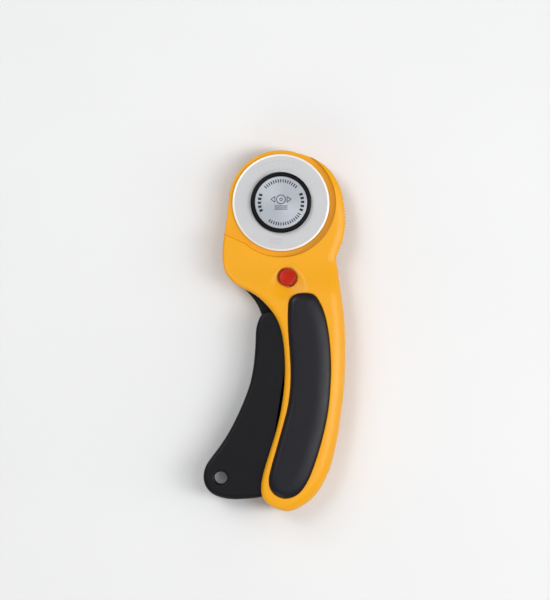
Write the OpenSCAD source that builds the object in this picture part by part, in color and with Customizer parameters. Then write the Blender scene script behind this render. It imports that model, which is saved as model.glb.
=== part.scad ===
// Rotary cutter with a squeeze lever, lying on its back: +Z is out of the blade face, +Y towards the head.
// The outlines are drawn about the blade's axle and the whole model is moved once, by place().

/* [Body] */
// Thickness over the two rubber grips
tool_t = 22; // [21.5:0.5:24]
// Thickness of the head between its two flat faces
head_t = 12; // [12:0.5:12.5]
// Wall thickness of the two shells
wall = 2.2; // [2:0.1:2.6]
// How far the rubber grips stand proud of the shells
grip_proud = 1.6; // [1:0.1:2]

/* [Blade and arbor] */
// Diameter of the round blade
blade_d = 45; // [44:0.5:45.5]
// Thickness of the blade
blade_t = 0.25; // [0.2:0.05:0.25]
// Diameter of the blade's centre hole
blade_bore = 8.1; // [8.06:0.02:8.12]
// Outer diameter of the black clamp flange
flange_d = 28.3; // [27.5:0.1:29]
// Diameter of the satin face disc
disc_d = 24.2; // [22:0.1:25]
// Diameter of the nut's grip
nut_d = 22; // [22:0.5:24]
// Number of finger scallops round the nut
nut_scallops = 10; // [8:1:12]

/* [Lever] */
// Swing of the squeeze lever, in degrees
swing = 9; // [8:0.5:9]
// Thickness of the lever's grip
lever_t = 12; // [11:0.5:12]
// Diameter of the hang hole in the lever's tail
hang_d = 6; // [5:0.5:6.5]

/* [Lock] */
// Diameter of the red lock button
button_d = 8.1; // [7.9:0.1:8.1]
// Travel of the lock button between free and locked
lock_travel = 3; // [2.8:0.1:3]

/* [Hidden] */
$fn = 96;

// Steps of a curve between two of its points
curve_steps = 2;

// Heights, from the table up
mid_z = tool_t / 2;
head_top = mid_z + head_t / 2;
head_bottom = mid_z - head_t / 2;
crown_top = tool_t - grip_proud;
recess_z = head_bottom + 8.6;
floor_in = head_bottom + wall;
floor_out = recess_z - 1.8;
arm_bottom = floor_in + 0.3;
arm_top = floor_out - 0.3;
hub_front = recess_z + 0.7;
hub_rear = head_bottom - 0.2;
blade_z = hub_front + 0.05;
flange_z = blade_z + blade_t;
flange_top = flange_z + 3;
disc_t = 0.5;
bolt_head_z = flange_z + 1.2;
channel_half = lever_t / 2 + 0.4;
slope_end_y = -44;
slope_start_y = -26;
grip_floor = crown_top - 1.5;
pin_top = head_top - 0.4;
spring_low = arm_top + 0.7;
spring_high = arm_top + 2.8;
spring_room_top = floor_out + 3.2;
post_room_top = floor_out + 1.6;
spring_room_r = 5.2;
leg_room_r = 10;
leg_slot_w = 1.6;

// Beyond the whole model on every side
reach = 160;

// Axes
pivot = [-14.2, -31.8];
button = [3, -34.7];
hang = [-27.9, -127.8];
pin_r = 2.5;
lock_r = 1.9;
neck_r = 1;
bolt_r = 2.45;
bolt_end = 1.6;
bolt_head_r = 7;
front_hub_r = 6.2;
rear_hub_r = 4.6;
hub_gap = 0.5;
post_r = 0.8;
post_h = 1.6;
post_from_pivot = 7.6;
shoulder_r = 4;
square_w = 5.6;
square_gap = 0.05;

// Blade recess in the head
recess_r = 25.3;
recess_half = 24.2;
exit_angle = atan2(-pivot[1], -pivot[0]) + 90;

// Shell screws, all alike
screws = [[17.5, 8], [-14.5, 14.5], [-22.6, -25], [14.5, -36.5], [18.6, -88], [6.6, -138.8]];
screw_joint_z = mid_z - 3.2;
screw_head_z = mid_z - 4.2;
screw_tip_z = floor_out + 0.6;
screw_head_h = 1.7;
screw_head_r = 2.4;
screw_r = 1.45;
cross_len = 2.8;
cross_w = 0.7;
front_boss_r = 2.7;
rear_boss_r = 3.3;

// Outline of the body, counter-clockwise from the top of the head
head_r = 24.4;
head_arc = [for (a = [68:9:176]) head_r * [cos(a), sin(a)]];
left_side = [
    [-24.5, -1], [-25.2, -7], [-26.2, -14], [-27.1, -21], [-27, -28], [-25.5, -33], [-21.8, -37.3],
    [-16.8, -40.2], [-11.5, -43.2], [-7.4, -46.8], [-3.3, -51.8], [-0.5, -57.5], [1.1, -65], [1.8, -75],
    [1.5, -85], [0.2, -95], [-2, -105], [-5, -115], [-7.8, -124], [-9.2, -131], [-8.8, -136],
];
bottom_side = [[-6.4, -139.4], [-2.2, -141.9], [3.3, -143.3], [8.6, -141.6], [14, -138]];
right_side = [
    [18.4, -132.5], [21.3, -127], [23.5, -121], [26.1, -110], [27.8, -99], [29.1, -88], [29.8, -76],
    [29.9, -64], [29.2, -52], [27.8, -41], [26.5, -32], [25.6, -26.5], [26.2, -23.5], [27.7, -19.8],
    [28.9, -15.5], [29.6, -11], [29.6, -8], [29.4, -4], [28.9, 0], [28.2, 4], [27, 7.8], [25.4, 11.2],
    [23.2, 14.4], [20.5, 17.1], [17.4, 19.3], [14.2, 21], [10.9, 22.2],
];
// Outer edge of the ribbed finger rest on the head, upwards
finger_edge = [
    [24.6, -25.9], [26.5, -24], [28, -20.3], [29.3, -15.6], [30, -11], [30, -8], [29.7, -4.2], [29.2, 0],
    [28.5, 4], [27.2, 7.9],
];
finger_rib_depth = 0.3;
// Inner side of the finger rest, inside the body
finger_root = [[24, 6], [25, 0], [24, -20]];
finger_rest_top = head_top - 1.2;

// Narrow room for the arm behind the pivot, and the mouth in the body's side that the lever swings in
neck_room = [[-19.9, -34.8], [-17.4, -40.4], [-14, -56], [8, -56], [8, -40]];
lever_mouth = [
    [-45, -47.5], [6, -47.5], [9, -60], [9, -118], [3, -133], [-2.5, -139.6], [-5, -150], [-45, -150],
];
room_split_y = -48;

// Width of each rubber grip's rounded edge, and its outline
grip_edge_w = 3.2;
grip_points = [
    [11, -41.9], [7.2, -42.3], [4.2, -44.4], [3.3, -48.5], [3.3, -58], [4, -68], [4.5, -77], [4.3, -86],
    [3.1, -95], [1.2, -102.5], [-0.6, -109], [-2.7, -116.5], [-4.4, -122.5], [-5.6, -128.5], [-4.8, -133],
    [-2, -136], [2.6, -137.2], [8, -135], [12, -129.7], [14.9, -123], [17.4, -115.5], [19.8, -106.5],
    [21.7, -97], [22.7, -87], [23.1, -77], [22.6, -66], [21.3, -56.5], [19.3, -49.3], [16.4, -43.8],
    [14.2, -42.3],
];

// Rounding of the lever's edges, the flare of its hang hole, and its outline
lever_rounding = [1.6, 1.6];
hang_flare = 0.6;
lever_points = [
    [-0.8, -50.6], [-5, -50], [-8.4, -51.3], [-10.4, -54.5], [-11.6, -59], [-11.9, -66], [-12.6, -74.5],
    [-14, -82.6], [-16.3, -89.7], [-19.6, -97.6], [-23.8, -106], [-28, -112.7], [-32, -118],
    [-34.9, -122.3], [-36, -126.6], [-35.4, -130.8], [-32.9, -134.4], [-28.6, -136.7], [-22.5, -137.7],
    [-15.5, -137.5], [-9.5, -136.8], [-5.4, -135], [-3.4, -131.5], [-2.9, -126.5], [-0.4, -118],
    [2.7, -108], [5, -98], [6.2, -87], [7, -76], [7.3, -66], [6.4, -57.5], [3.6, -52],
];

// Outline of the arm that carries the blade
arm_points = [
    [8.4, 1.5], [5.8, 6.2], [0, 8.5], [-6, 6], [-8.6, 0], [-10, -8], [-12.8, -16], [-16, -23.5],
    [-19.3, -29.5], [-19.3, -34.5], [-16.9, -39.9], [-13.5, -43.8], [-10.7, -48], [-8.9, -52.5],
    [-7.4, -59], [-6, -66], [-3.4, -71.5], [0.6, -73.2], [4.2, -71.6], [5.7, -66], [5.2, -58], [2.6, -50],
    [2.4, -43.9], [6, -41.2], [8.6, -37.2], [8.2, -32.6], [4.8, -29.8], [0, -28.8], [-3.6, -26.5],
    [-4.2, -20], [-0.8, -13.4], [4.8, -7.6], [7.8, -3.4],
];
rivets = [[2.6, -60], [3.6, -67.6]];
rivet_r = 1.3;
rivet_head_r = 2.1;
rivet_sink = 1.2;
rivet_head_depth = 0.4;

// Centre of the whole outline, put over the origin
box_left = min([for (p = curve(lever_points)) p[0]]);
box_right = max([for (p = concat(rib_line(), body_line())) p[0]]);
box_top = head_r;
box_bottom = min([for (p = body_line()) p[1]]);

// Catmull-Rom curve through points, open or closed
function between(a, b, c, d, t) = 0.5 * (
    2 * b + (c - a) * t + (2 * a - 5 * b + 4 * c - d) * t * t + (3 * b - a - 3 * c + d) * t * t * t);
function curve(p, n = curve_steps) = let (m = len(p)) [
    for (i = [0:m - 1]) for (k = [0:n - 1])
        between(p[(i + m - 1) % m], p[i], p[(i + 1) % m], p[(i + 2) % m], k / n)];
function open_curve(p, n) = let (m = len(p)) [
    for (i = [0:m - 2]) for (k = [0:n - (i == m - 2 ? 0 : 1)])
        between(p[max(i - 1, 0)], p[i], p[i + 1], p[min(i + 2, m - 1)], k / n)];
function heading(p, i) = let (m = len(p), d = p[(i + 1) % m] - p[(i + m - 1) % m]) d / norm(d);
function inward(p, i) = let (d = heading(p, i)) [-d[1], d[0]];
function inset(p, by) = [for (i = [0:len(p) - 1]) p[i] + by * inward(p, i)];
function turned(v, a) = [v[0] * cos(a) - v[1] * sin(a), v[0] * sin(a) + v[1] * cos(a)];

function inner_points(p) = [for (i = [1:len(p) - 2]) p[i]];
function body_line() = concat(inner_points(head_arc), open_curve(concat(
    [head_arc[len(head_arc) - 1]], left_side, bottom_side, right_side, [head_arc[0]]), curve_steps));
function rib_line() = let (edge = open_curve(finger_edge, 5), last = len(edge) - 1) [
    for (i = [0:last]) edge[i] + finger_rib_depth * (i % 2) * inward(edge, min(max(i, 1), last - 1))];

// Rounded edge of a slab as [inset, height] steps: tight on the lever side, full on the finger side
edge_steps = 4;
lever_edge = [2.2, 2.2];
finger_side_edge = [5.2, 6];
function edge_ring(p, radii_a, radii_b, top, k) = [
    for (i = [0:len(p) - 1]) let (
        n = inward(p, i),
        w = min(max(0.5 - n[0] * 0.9, 0), 1),
        r = radii_a * (1 - w) + radii_b * w,
        a = 90 * k / edge_steps,
        q = p[i] + r[0] * (1 - cos(a)) * n)
        [q[0], q[1], top - r[1] * (1 - sin(a))]];
function flat_ring(p, z) = [for (q = p) [q[0], q[1], z]];

// Solid between rings of points, each ring counter-clockwise and above the last
module loft(rings) {
    n = len(rings[0]);
    m = len(rings);
    points = [for (r = rings) for (q = r) q];
    low = [for (k = [0:m - 2]) for (i = [0:n - 1])
        [k * n + i, (k + 1) * n + i, (k + 1) * n + (i + 1) % n]];
    high = [for (k = [0:m - 2]) for (i = [0:n - 1])
        [k * n + i, (k + 1) * n + (i + 1) % n, k * n + (i + 1) % n]];
    bottom = [[for (i = [0:n - 1]) i]];
    top = [[for (i = [n - 1:-1:0]) (m - 1) * n + i]];
    polyhedron(points = points, faces = concat(bottom, low, high, top), convexity = 8);
}

// Slab with one rounded face, seen from above
module crowned(p, bottom, top, radii_a, radii_b) {
    loft(concat([flat_ring(p, bottom)], [for (k = [0:edge_steps]) edge_ring(p, radii_a, radii_b, top, k)]));
}

// Slab rounded on both faces
module cushion(p, bottom, top, radii) {
    half = (bottom + top) / 2;
    upper = [for (k = [0:edge_steps]) edge_ring(p, radii, radii, top, k)];
    lower = [for (k = [edge_steps:-1:0]) [for (q = upper[k]) [q[0], q[1], 2 * half - q[2]]]];
    loft(concat(lower, upper));
}

module place() translate([-(box_left + box_right) / 2, -(box_top + box_bottom) / 2, 0]) children();
module slab(p, low, high) translate([0, 0, low]) linear_extrude(high - low) polygon(p);
module rod(at, r, low, high) translate([at[0], at[1], low]) cylinder(r = r, h = high - low);
module flip() translate([0, 0, tool_t]) mirror([0, 0, 1]) children();
module about_pivot(a) translate(pivot) rotate(a) translate(-pivot) children();

// Half of the body, its outer form only: a flat head that ramps up to the crown of the handle.
// The loft runs on past both flat faces, and the profile seen from the side trims it.
module half_body() intersection() {
    union() {
        line = body_line();
        rounded = [for (k = [0:edge_steps]) edge_ring(line, lever_edge, finger_side_edge, crown_top, k)];
        loft(concat([flat_ring(line, mid_z - 1)], rounded, [flat_ring(rounded[edge_steps], crown_top + 1)]));
        slab(concat(rib_line(), finger_root), mid_z - 1, finger_rest_top);
    }
    translate([reach, 0, 0]) rotate([90, 0, -90]) linear_extrude(2 * reach) polygon([
        [-reach, mid_z], [-reach, head_top], [-slope_start_y, head_top], [-slope_end_y, crown_top],
        [reach, crown_top], [reach, mid_z]]);
}

// Room inside half of the body: shallow for the arm in the head, deep for the lever in the handle
module half_room(head_limit) {
    intersection() {
        slab(inset(body_line(), wall), mid_z - 1, head_limit);
        slab(band(room_split_y, reach), mid_z - 1, head_limit);
    }
    slab(neck_room, mid_z - 1, head_limit);
    intersection() {
        slab(inset(body_line(), wall), mid_z - 1, mid_z + channel_half);
        slab(band(-reach, room_split_y + 0.5), mid_z - 1, mid_z + channel_half);
    }
    slab(lever_mouth, mid_z - 1, mid_z + channel_half);
}
function band(low_y, high_y) = [[-reach, low_y], [reach, low_y], [reach, high_y], [-reach, high_y]];

// Slot that lets a hub boss swing with the arm
module hub_slot(r, low, high) {
    rod([0, 0], r, low, high);
    about_pivot(swing) rod([0, 0], r, low, high);
    travel = turned(-pivot, swing) + pivot;
    side = r - 0.05;
    translate([0, 0, low]) rotate(atan2(travel[1], travel[0])) translate([0, -side, 0])
        cube([norm(travel), 2 * side, high - low]);
}

// Hole for the lock button, with a countersunk rim and a shallow dish cut into the slope beside it
button_gap = 0.15;
button_rim = 0.75;
dish_r = 9.2;
dish_h = 2;
module button_bore() {
    rod(button, button_d / 2 + button_gap, mid_z - 8, tool_t);
    rod(button, button_d / 2 + button_rim, head_top - 0.6, tool_t);
    translate([button[0], button[1], head_top + 0.6])
        cylinder(r1 = button_d / 2 + button_rim, r2 = dish_r, h = dish_h);
}

screw_gap = 0.2;
module screw_holes() for (s = screws) {
    rod(s, screw_head_r + screw_gap, -1, screw_head_z);
    rod(s, screw_r + screw_gap, screw_head_z - 1, mid_z);
}
function room_top(s) = s[1] > slope_end_y ? floor_out : mid_z + channel_half;
function room_floor(s) = s[1] > slope_end_y ? floor_in : mid_z - channel_half;

module front_shell() color("orange") place() difference() {
    union() {
        front_pan();
        for (s = screws) rod(s, front_boss_r, screw_joint_z, room_top(s) + 0.6);
    }
    for (s = screws) rod(s, screw_r + 0.05, screw_joint_z - 1, screw_tip_z + 0.3);
}

module front_pan() {
    difference() {
        half_body();
        half_room(floor_out);
        rod([0, 0], recess_r, recess_z, tool_t);
        translate([0, 0, recess_z]) rotate(exit_angle) translate([0, -recess_half, 0])
            cube([45, 2 * recess_half, tool_t]);
        hub_slot(front_hub_r + hub_gap, floor_out - 1, tool_t);
        button_bore();
        rod(button, ring_centre_r + ring_wire_r + 0.25, ring_z - 0.5, ring_z + 0.5);
        slab(curve(grip_points), grip_floor, tool_t + 1);
        rod(pivot, pin_r, floor_out - 1, pin_top);
        rod(pivot, spring_room_r, floor_out - 1, spring_room_top);
        rod(pivot, leg_room_r, floor_out - 1, post_room_top);
        translate([pivot[0], pivot[1], post_room_top]) rotate(fixed_leg_angle)
            translate([0, -leg_slot_w / 2, 0])
            cube([leg_room_r - 0.5, leg_slot_w, spring_room_top - post_room_top]);
    }
}

module rear_shell() color("orange") place() {
    difference() {
        flip() half_body();
        flip() half_room(tool_t - floor_in);
        hub_slot(rear_hub_r + hub_gap, 0, mid_z);
        flip() button_bore();
        flip() slab(curve(grip_points), grip_floor, tool_t + 1);
        rod(pivot, pin_r, head_bottom, mid_z);
        screw_holes();
        for (s = screws) rod(s, front_boss_r + 0.1, screw_joint_z, mid_z + 1);
    }
    difference() {
        for (s = screws) rod(s, rear_boss_r, room_floor(s) - 0.6, screw_joint_z);
        screw_holes();
    }
}

module grip() {
    p = curve(grip_points);
    crowned(p, grip_floor, tool_t, [grip_edge_w, grip_proud + 0.2], [grip_edge_w + 0.4, grip_proud + 0.2]);
}

module front_grip() color("dimgray") place() grip();

module rear_grip() color("dimgray") place() flip() grip();

module shell_screws() color("silver") place() for (s = screws) {
    difference() {
        rod(s, screw_head_r, screw_head_z - screw_head_h, screw_head_z);
        for (a = [0, 90]) translate([s[0], s[1], screw_head_z - screw_head_h]) rotate(a)
            cube([cross_len, cross_w, 2], center = true);
    }
    rod(s, screw_r, screw_head_z, screw_tip_z);
}

module pivot_pin() color("silver") place() rod(pivot, pin_r, head_bottom, pin_top);

// Torsion spring round the pivot pin, drawn wound up as it is when the lever is squeezed
spring_steps = 44;
spring_wire_r = 0.4;
spring_r = 3.7;
moving_leg_angle = -62;
post_angle = -83;
fixed_leg_angle = 205;
spring_turns = 2;
spring_sweep = fixed_leg_angle - moving_leg_angle + 360 * spring_turns;
leg_start_r = 6;
moving_leg_r = 8.4;
fixed_leg_r = 8.6;
function spring_path() = concat(
    [for (r = [moving_leg_r, leg_start_r]) pivot_point(r, moving_leg_angle, spring_low)],
    [for (k = [0:spring_steps]) pivot_point(spring_r, moving_leg_angle + k * spring_sweep / spring_steps,
        spring_low + k * (spring_high - spring_low) / spring_steps)],
    [for (r = [leg_start_r, fixed_leg_r]) pivot_point(r, fixed_leg_angle, spring_high)]);
function pivot_point(r, a, z) = [pivot[0] + r * cos(a), pivot[1] + r * sin(a), z];
function wire_ring(path, i, r) = let (
    d = path[min(i + 1, len(path) - 1)] - path[max(i - 1, 0)],
    t = d / norm(d),
    u = [t[1], -t[0], 0] / norm([t[1], -t[0], 0]),
    v = cross(t, u))
    [for (a = [0:45:315]) path[i] + r * (cos(a) * u + sin(a) * v)];

module return_spring() color("silver") place() {
    path = spring_path();
    loft([for (i = [0:len(path) - 1]) wire_ring(path, i, spring_wire_r)]);
}

// Split wire ring round the lock button
ring_wire_r = 0.35;
ring_centre_r = button_d / 2 + 0.5;
ring_gap_angle = 80;
module detent_ring() color("silver") place() translate([button[0], button[1], ring_z])
    rotate(ring_gap_angle / 2) rotate_extrude(angle = 360 - ring_gap_angle)
    translate([ring_centre_r, 0]) circle(r = ring_wire_r, $fn = 24);

module squeeze_lever() color("#28282a") place() {
    difference() {
        cushion(curve(lever_points), mid_z - lever_t / 2, mid_z + lever_t / 2, lever_rounding);
        slab(curve(arm_points), arm_bottom, arm_top);
        rod(hang, hang_d / 2, -1, tool_t + 1);
        for (side = [0, 1]) mirror_if(side) translate([hang[0], hang[1], mid_z + lever_t / 2 - hang_flare])
            cylinder(r1 = hang_d / 2, r2 = hang_d / 2 + hang_flare + 0.1, h = hang_flare + 0.1);
        for (q = rivets) rod(q, rivet_r, -1, tool_t);
        for (q = rivets) rod(q, rivet_head_r, mid_z + lever_t / 2 - rivet_sink, tool_t);
        for (q = rivets) rod(q, rivet_head_r, 0, mid_z - lever_t / 2 + rivet_sink);
    }
}
module mirror_if(side) {
    if (side == 1) flip() children();
    else children();
}

module blade_arm() color("#303034") place() {
    difference() {
        union() {
            slab(curve(arm_points), arm_bottom, arm_top);
            rod([0, 0], front_hub_r, arm_top, hub_front);
            rod([0, 0], rear_hub_r, hub_rear, arm_bottom);
            rod(pivot + turned([post_from_pivot, 0], post_angle), post_r, arm_top, arm_top + post_h);
        }
        rod(pivot, pin_r + 0.05, 0, tool_t);
        translate([-square_w / 2 - square_gap, -square_w / 2 - square_gap, arm_bottom])
            cube([square_w + 2 * square_gap, square_w + 2 * square_gap, tool_t]);
        rod([0, 0], bolt_r + 0.2, 0, mid_z);
        rod(button, lock_r + 0.1, 0, tool_t);
        about_pivot(-swing) rod(button, lock_r + 0.1, 0, tool_t);
        for (q = rivets) rod(q, rivet_r, 0, tool_t);
    }
}

module arm_rivets() color("silver") place() for (q = rivets) {
    rod(q, rivet_r, mid_z - lever_t / 2 + rivet_sink, mid_z + lever_t / 2 - rivet_sink);
    rod(q, rivet_head_r, mid_z + lever_t / 2 - rivet_sink, mid_z + lever_t / 2 - rivet_head_depth);
    rod(q, rivet_head_r, mid_z - lever_t / 2 + rivet_head_depth, mid_z - lever_t / 2 + rivet_sink);
}

// Red plunger: a dished pad, a locking collar and a thin neck that lets the arm swing
pad_bottom = floor_out + lock_travel + 0.1;
pad_top = head_top + 2.4;
cap_bottom = head_bottom - 1.4;
cap_top = arm_bottom - 0.4;
ring_z = pad_bottom + 0.6;
groove = 0.25;

module lock_button() color("red") place() translate([button[0], button[1], 0]) {
    rotate_extrude() polygon([
        [0, cap_top - 1.6], [1.6, cap_top - 1.6], [1.6, cap_top + 0.1], [neck_r, cap_top + 0.1],
        [neck_r, arm_top + 0.2], [lock_r, arm_top + 0.2], [lock_r, pad_bottom], [button_d / 2, pad_bottom],
        [button_d / 2, ring_z - groove], [button_d / 2 - groove, ring_z], [button_d / 2, ring_z + groove],
        [button_d / 2, ring_z + lock_travel - groove], [button_d / 2 - groove, ring_z + lock_travel],
        [button_d / 2, ring_z + lock_travel + groove],
        [button_d / 2 - 0.15, pad_top - 0.2], [button_d / 2 - 0.6, pad_top],
        [button_d / 2 - 1.1, pad_top - 0.1],
        [button_d / 2 - 2, pad_top - 0.5], [0, pad_top - 0.7],
    ]);
}

module lock_cap() color("red") place() translate([button[0], button[1], 0]) rotate_extrude() polygon([
    [0, cap_bottom + 0.5], [button_d / 2 - 1.8, cap_bottom + 0.35], [button_d / 2 - 0.6, cap_bottom],
    [button_d / 2, cap_bottom + 0.5], [button_d / 2, cap_top], [1.6, cap_top], [1.6, cap_top - 1.6],
    [0, cap_top - 1.6],
]);

module arbor_bolt() color("silver") place() {
    rod([0, 0], bolt_head_r, bolt_head_z, flange_top - 0.2);
    rod([0, 0], shoulder_r, hub_front, bolt_head_z);
    translate([-square_w / 2, -square_w / 2, arm_bottom]) cube([square_w, square_w, hub_front - arm_bottom]);
    rod([0, 0], bolt_r, bolt_end, arm_bottom);
}

module clamp_flange() color("#141418") place() difference() {
    rotate_extrude() polygon([
        [0, flange_z], [flange_d / 2 - 0.4, flange_z], [flange_d / 2, flange_z + 0.4],
        [flange_d / 2, flange_top - 0.5], [flange_d / 2 - 0.5, flange_top], [0, flange_top],
    ]);
    rod([0, 0], shoulder_r, flange_z - 1, flange_top);
    rod([0, 0], bolt_head_r, bolt_head_z, flange_top + 1);
}

module face_disc() color("#cdd2dc") place() rotate_extrude() polygon([
    [0, flange_top], [disc_d / 2, flange_top], [disc_d / 2, flange_top + disc_t - 0.2],
    [disc_d / 2 - 0.2, flange_top + disc_t], [0, flange_top + disc_t],
]);

bevel_w = 0.9;
module blade() color("#d2d2d4") place() rotate_extrude() polygon([
    [blade_bore / 2, blade_z], [blade_d / 2 - bevel_w, blade_z], [blade_d / 2, blade_z + blade_t / 2],
    [blade_d / 2 - bevel_w, blade_z + blade_t], [blade_bore / 2, blade_z + blade_t],
]);

washer_r = 7.5;
washer_bore_r = bolt_r + 0.25;
washer_t = 0.5;
washer_cone = 0.3;
module tension_washer() color("gainsboro") place() rotate_extrude() polygon([
    [washer_bore_r, hub_rear - washer_t], [washer_r, hub_rear - washer_t - washer_cone],
    [washer_r, hub_rear - washer_cone], [washer_bore_r, hub_rear],
]);

insert_r = 4.4;
nut_top = hub_rear - washer_t - washer_cone;
nut_wall = 0.8;
scallop_r = 2.2;
scallop_from_axis = nut_d / 2 + 1.2;
module nut_knob() color("#1c1c1e") place() difference() {
    rotate_extrude() polygon([
        [0, 0], [nut_d / 2 - 1, 0], [nut_d / 2, 1], [nut_d / 2, nut_top - 0.6], [nut_d / 2 - 0.6, nut_top],
        [0, nut_top],
    ]);
    rod([0, 0], insert_r, nut_wall, nut_top + 1);
    for (i = [1:nut_scallops])
        rod(turned([scallop_from_axis, 0], i * 360 / nut_scallops), scallop_r, -1, nut_top + 1);
}

module nut_insert() color("goldenrod") place() difference() {
    rod([0, 0], insert_r, nut_wall, nut_top);
    rod([0, 0], bolt_r + 0.05, 0, nut_top + 1);
}

front_shell();
rear_shell();
front_grip();
rear_grip();
shell_screws();
pivot_pin();
return_spring();
detent_ring();
squeeze_lever();
blade_arm();
arm_rivets();
lock_button();
lock_cap();
arbor_bolt();
clamp_flange();
face_disc();
blade();
tension_washer();
nut_knob();
nut_insert();
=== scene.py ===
"""Rotary cutter with a squeeze lever, lying on its back on a pale floor and seen from straight above.

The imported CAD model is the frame. The pieces that show are rebuilt here with finer surfaces in the same
place, and the rest keep their CAD mesh. Outlines and heights are in millimetres: x towards the finger side
and y towards the head, both from the blade's axle, and z up from the floor.
"""

import math

import bpy
import numpy as np
from mathutils import Matrix, Vector
from mathutils.geometry import delaunay_2d_cdt
from mathutils.kdtree import KDTree


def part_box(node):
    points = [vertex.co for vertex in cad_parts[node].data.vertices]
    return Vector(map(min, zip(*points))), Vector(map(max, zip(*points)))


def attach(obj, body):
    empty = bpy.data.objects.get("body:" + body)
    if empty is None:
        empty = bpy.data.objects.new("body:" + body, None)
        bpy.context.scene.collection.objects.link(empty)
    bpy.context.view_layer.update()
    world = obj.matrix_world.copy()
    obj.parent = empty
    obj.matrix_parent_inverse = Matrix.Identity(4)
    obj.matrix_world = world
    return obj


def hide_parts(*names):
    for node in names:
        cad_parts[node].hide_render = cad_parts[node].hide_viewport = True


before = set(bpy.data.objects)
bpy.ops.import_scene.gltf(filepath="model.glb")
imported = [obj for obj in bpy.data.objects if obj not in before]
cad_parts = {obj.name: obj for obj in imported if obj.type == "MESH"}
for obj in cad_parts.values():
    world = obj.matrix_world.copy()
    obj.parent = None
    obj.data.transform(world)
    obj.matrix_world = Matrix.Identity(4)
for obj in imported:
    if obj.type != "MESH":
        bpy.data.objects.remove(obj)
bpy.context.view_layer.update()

MM = 0.001


def middle(node):
    """Middle of a CAD node's box, in millimetres in the frame."""
    low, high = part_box(node)
    return (low + high) / 2 / MM


def top_of(node):
    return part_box(node)[1].z / MM


def bottom_of(node):
    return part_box(node)[0].z / MM


AXLE = middle("blade")


def from_axle(node):
    """Middle of a CAD node in plan, from the blade's axle."""
    at = middle(node) - AXLE
    return np.array([at.x, at.y])


# Heights: the crown is the handle's highest part, and the recess is the floor under the blade
TOOL_TOP = top_of("front_grip")
MID = TOOL_TOP / 2
CROWN = top_of("front_shell")
HEAD_TOP = MID + 6
RECESS = HEAD_TOP - 3.4
POCKET_FLOOR = bottom_of("front_grip")
# The arm's room between the two shells in the head, and the arm in it
FLOOR_OUT = RECESS - 1.8
FLOOR_IN = 7.2
ARM_BOTTOM, ARM_TOP = 7.5, FLOOR_OUT - 0.3
# Half the height of the lever's room in the handle
CHANNEL_HALF = 6.4
# The handle slopes down to the head between these places
SLOPE_START, SLOPE_END = -26, -44
# Gap or overlap that keeps faces and cuts apart
HAIR = 0.05

# Places in plan
BUTTON = from_axle("lock_button")
PIVOT = from_axle("pivot_pin")
HANG = np.array([-27.9, -127.8])
RIVETS = [(2.6, -60), (3.6, -67.6)]
SCREWS = [(17.5, 8), (-14.5, 14.5), (-22.6, -25), (14.5, -36.5), (18.6, -88), (6.6, -138.8)]
SWING = math.radians(9)

# Radii
HEAD_R = 24.34
RECESS_R = 25.3
RECESS_HALF = 24.2
BUTTON_R = 4.05
HANG_R, HANG_LIP = 3.0, 0.9
RIVET_R, RIVET_HEAD_R = 1.3, 2.1
SCREW_R, SCREW_HEAD_R, SCREW_BOSS_R = 1.65, 2.6, 3.3
PIN_R = 2.5
FRONT_HUB_R, REAR_HUB_R, HUB_GAP = 6.2, 4.6, 0.5
# Way out of the head for the blade, square to the line from pivot to axle
EXIT = math.atan2(-PIVOT[1], -PIVOT[0]) + math.pi / 2

# Outlines in plan, counter-clockwise. The head's round part is an arc.
HEAD_ARC = [
    (HEAD_R * math.cos(math.radians(a)), HEAD_R * math.sin(math.radians(a)))
    for a in np.linspace(68, 176, 13)
]
BODY = HEAD_ARC + [
    (-24.5, -1), (-25.2, -7), (-26.2, -14), (-27.1, -21), (-27, -28), (-25.5, -33), (-21.8, -37.3),
    (-16.8, -40.2), (-11.5, -43.2), (-7.4, -46.8), (-3.3, -51.8), (-0.5, -57.5), (1.1, -65), (1.8, -75),
    (1.5, -85), (0.2, -95), (-2, -105), (-5, -115), (-7.8, -124), (-9.2, -131), (-8.8, -136),
    (-6.4, -139.4), (-2.2, -141.9), (3.3, -143.3), (8.6, -141.6), (14, -138),
    (18.4, -132.5), (21.3, -127), (23.5, -121), (26.1, -110), (27.8, -99), (29.1, -88), (29.8, -76),
    (29.9, -64), (29.2, -52), (27.8, -41), (26.5, -32), (25.6, -26.5), (26.2, -23.5), (27.7, -19.8),
    (28.9, -15.5), (29.6, -11), (29.6, -8), (29.4, -4), (28.9, 0), (28.2, 4), (27, 7.8), (25.4, 11.2),
    (23.2, 14.4), (20.5, 17.1), (17.4, 19.3), (14.2, 21), (10.9, 22.2),
]  # fmt: skip
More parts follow.
